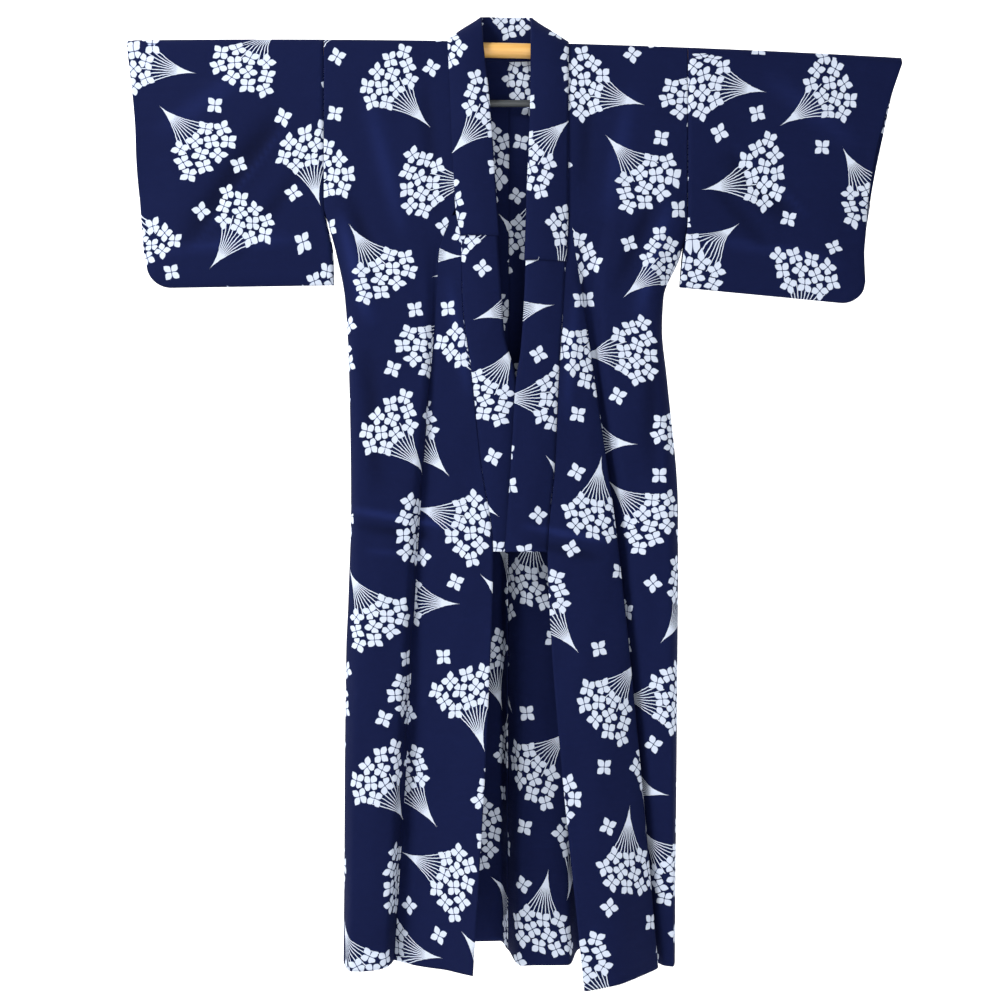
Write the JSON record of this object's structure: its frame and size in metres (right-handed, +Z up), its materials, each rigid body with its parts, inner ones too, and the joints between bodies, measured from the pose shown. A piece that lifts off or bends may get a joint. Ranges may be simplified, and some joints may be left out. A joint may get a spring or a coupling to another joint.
{
  "type": "cotton yukata robe on a hanging rod",
  "caption": "Indigo cotton yukata with pale florets, hung open-fronted by its sleeves and shoulders on a wooden rod.",
  "frame": {"origin": "on the axis of the hanging rod, in the open neck, halfway along the robe's width", "axes": "+Z up along the hanging robe, -Y out of its front, +X towards the wearer's left sleeve"},
  "size_m": [1.3106, 0.2052, 1.6218],
  "materials": {
    "body_shoulder_right": "matt plain-woven cotton, indigo with pale printed florets",
    "body_shoulder_left": "matt plain-woven cotton, indigo with pale printed florets",
    "body_front_right_side": "matt plain-woven cotton, indigo with pale printed florets",
    "body_front_right_main": "matt plain-woven cotton, indigo with pale printed florets",
    "body_front_right_flank": "matt plain-woven cotton, indigo with pale printed florets",
    "body_front_left_side": "matt plain-woven cotton, indigo with pale printed florets",
    "body_front_left_main": "matt plain-woven cotton, indigo with pale printed florets",
    "body_front_left_fold": "matt plain-woven cotton, indigo with pale printed florets",
    "body_front_left_flank": "matt plain-woven cotton, indigo with pale printed florets",
    "body_back_right_side": "matt plain-woven cotton, indigo with pale printed florets",
    "body_back_right_ridge": "matt plain-woven cotton, indigo with pale printed florets",
    "body_back_right_centre": "matt plain-woven cotton, indigo with pale printed florets",
    "body_back_left_side": "matt plain-woven cotton, indigo with pale printed florets",
    "body_back_left_ridge": "matt plain-woven cotton, indigo with pale printed florets",
    "body_back_left_column_far_upper": "matt plain-woven cotton, indigo with pale printed florets",
    "body_back_left_column_far_lower": "matt plain-woven cotton, indigo with pale printed florets",
    "body_back_left_column_upper": "matt plain-woven cotton, indigo with pale printed florets",
    "body_back_left_column_lower": "matt plain-woven cotton, indigo with pale printed florets",
    "okumi_right_whole": "matt plain-woven cotton, indigo with pale printed florets",
    "okumi_left_flank": "matt plain-woven cotton, indigo with pale printed florets",
    "okumi_left_face_upper": "matt plain-woven cotton, indigo with pale printed florets",
    "okumi_left_face_lower": "matt plain-woven cotton, indigo with pale printed florets",
    "sleeve_right": "matt plain-woven cotton, indigo with pale printed florets",
    "sleeve_left": "matt plain-woven cotton, indigo with pale printed florets",
    "collar": "matt plain-woven cotton, indigo with pale printed florets",
    "collar_cover": "matt plain-woven cotton, indigo with pale printed florets",
    "rod": "satin varnished softwood",
    "lower_bar": "satin dark grey paint",
    "bar_post_right": "satin dark grey paint",
    "bar_post_left": "satin dark grey paint"
  },
  "bodies": {
    "root": {"body_shoulder_right": "body_shoulder_right", "body_shoulder_left": "body_shoulder_left", "body_front_right_side": "body_front_right_side", "body_front_right_main": "body_front_right_main", "body_front_right_flank": "body_front_right_flank", "body_front_left_side": "body_front_left_side", "body_front_left_main": "body_front_left_main", "body_front_left_fold": "body_front_left_fold", "body_front_left_flank": "body_front_left_flank", "body_back_right_side": "body_back_right_side", "body_back_right_ridge": "body_back_right_ridge", "body_back_right_centre": "body_back_right_centre", "body_back_left_side": "body_back_left_side", "body_back_left_ridge": "body_back_left_ridge", "body_back_left_column_far_upper": "body_back_left_column_far_upper", "body_back_left_column_far_lower": "body_back_left_column_far_lower", "body_back_left_column_upper": "body_back_left_column_upper", "body_back_left_column_lower": "body_back_left_column_lower", "okumi_right_whole": "okumi_right_whole", "okumi_left_flank": "okumi_left_flank", "okumi_left_face_upper": "okumi_left_face_upper", "okumi_left_face_lower": "okumi_left_face_lower", "sleeve_right": "sleeve_right", "sleeve_left": "sleeve_left", "collar": "collar", "collar_cover": "collar_cover", "rod": "rod", "lower_bar": "lower_bar", "bar_post_right": "bar_post_right", "bar_post_left": "bar_post_left"}
  },
  "joints": []
}
